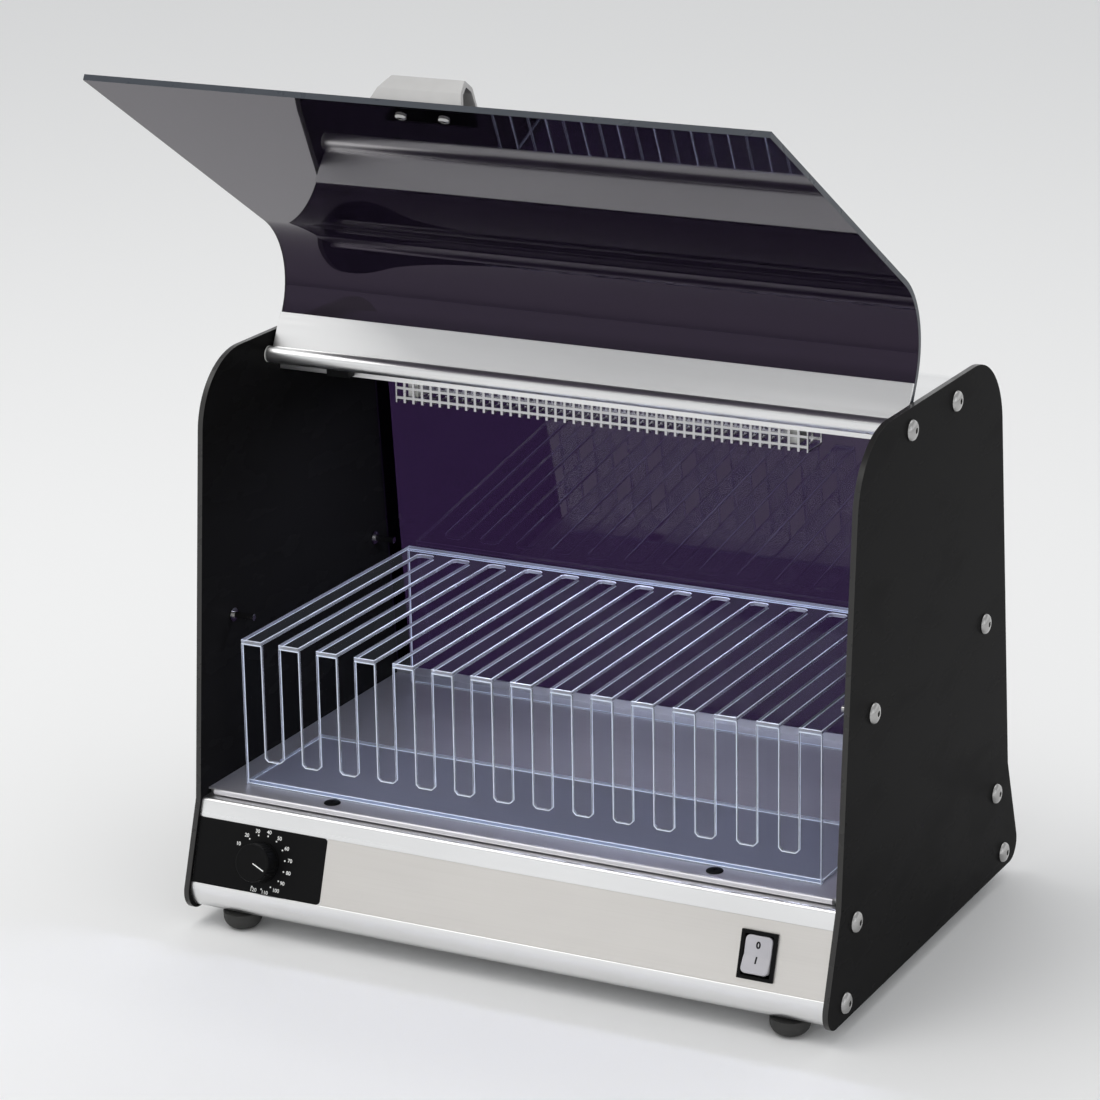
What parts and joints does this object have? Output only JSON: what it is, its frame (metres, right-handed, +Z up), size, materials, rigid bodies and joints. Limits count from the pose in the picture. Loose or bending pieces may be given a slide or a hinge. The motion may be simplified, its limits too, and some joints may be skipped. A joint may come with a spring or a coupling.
{
  "type": "uv sterilizer cabinet",
  "caption": "Bench-top ultraviolet steriliser cabinet with dark side panels, a bent tinted lift-up door, a clear slotted rack, a dial timer and a rocker switch.",
  "frame": {"origin": "on the surface the feet stand on, under the centre of the whole object's box with the door open", "axes": "+X to the right seen from the front, +Y to the back, +Z up"},
  "size_m": [0.5084, 0.4333, 0.6422],
  "materials": {
    "smoked_acrylic": "polished, near black",
    "violet_acrylic": "polished, dark violet, see-through",
    "bolt_steel": "polished nickel",
    "satin_aluminium": "satin anodised",
    "champagne_aluminium": "fine satin, warm",
    "stainless_steel": "bright brushed",
    "galvanised_steel": "dull",
    "black_plastic": "fine matt",
    "grey_plastic": "fine matt",
    "clear_acrylic": "clear, polished",
    "lamp_glass": "clear",
    "lamp_metal": "satin",
    "white_plastic": "matt",
    "rubber": "matt"
  },
  "bodies": {
    "cabinet": {"side_panel_left": "smoked_acrylic", "side_panel_right": "smoked_acrylic", "rear_wall": "violet_acrylic", "hinge_bolt_left": "bolt_steel", "hinge_bolt_right": "bolt_steel", "panel_bolts_left": "bolt_steel", "panel_bolts_right": "bolt_steel", "shelf_pin_front_left": "bolt_steel", "shelf_pin_rear_left": "bolt_steel", "shelf_pin_front_right": "bolt_steel", "shelf_pin_rear_right": "bolt_steel", "rear_wall_screws": "bolt_steel", "guard_screws": "bolt_steel", "foot_screws": "bolt_steel", "timer_nut": "bolt_steel", "front_base_profile": "satin_aluminium", "rear_base_profile": "satin_aluminium", "roof_panel": "satin_aluminium", "roof_rail": "satin_aluminium", "front_fascia": "champagne_aluminium", "rear_fascia": "champagne_aluminium", "floor_tray": "stainless_steel", "lamp_guard": "stainless_steel", "bottom_pan": "galvanised_steel", "ballast": "galvanised_steel", "starter": "galvanised_steel", "timer_plate": "black_plastic", "timer_body": "black_plastic", "switch_housing": "black_plastic", "tray_screws": "black_plastic", "interlock_switch": "black_plastic", "cable_gland": "black_plastic", "gland_nut": "black_plastic", "uv_lamp": "lamp_glass", "lamp_cap_left": "lamp_metal", "lamp_cap_right": "lamp_metal", "lamp_holder_left": "white_plastic", "lamp_holder_right": "white_plastic", "starter_holder": "white_plastic", "terminal_block": "white_plastic", "foot_front_left": "rubber", "foot_rear_left": "rubber", "foot_front_right": "rubber", "foot_rear_right": "rubber"},
    "door": {"door_panel": "violet_acrylic", "door_rail": "satin_aluminium", "hinge_bush_left": "white_plastic", "hinge_bush_right": "white_plastic", "door_handle": "grey_plastic", "handle_screws": "bolt_steel"},
    "timer_knob": {"timer_knob": "black_plastic", "timer_shaft": "stainless_steel"},
    "power_rocker": {"switch_rocker": "grey_plastic"},
    "rack": {"rack_front": "clear_acrylic", "rack_top": "clear_acrylic", "rack_rear": "clear_acrylic", "rack_base": "clear_acrylic"},
    "interlock_plunger": {"interlock_plunger": "white_plastic"}
  },
  "joints": [
    {"name": "door_hinge", "type": "hinge", "parent": "cabinet", "child": "door", "pos_m": [0, -0.002, 0.3925], "axis": [1, 0, 0], "range_deg": [0, 117.5]},
    {"name": "timer_turn", "type": "hinge", "parent": "cabinet", "child": "timer_knob", "pos_m": [-0.1909, -0.12494, 0.05595], "axis": [0, 0.9493, -0.3144], "range_deg": [-199.75, 82.25]},
    {"name": "power_rocker_tilt", "type": "hinge", "parent": "cabinet", "child": "power_rocker", "pos_m": [0.1945, -0.12356, 0.05503], "axis": [1, 0, 0], "range_deg": [0, 18]},
    {"name": "rack_lift", "type": "slide", "parent": "cabinet", "child": "rack", "axis": [0, 0, 1], "range_m": [0, 0.05]},
    {"name": "interlock_press", "type": "slide", "parent": "cabinet", "child": "interlock_plunger", "axis": [0, 1, 0], "range_m": [0, 0.0012], "stiffness_N_per_m": 300, "springref_m": -0.001}
  ]
}
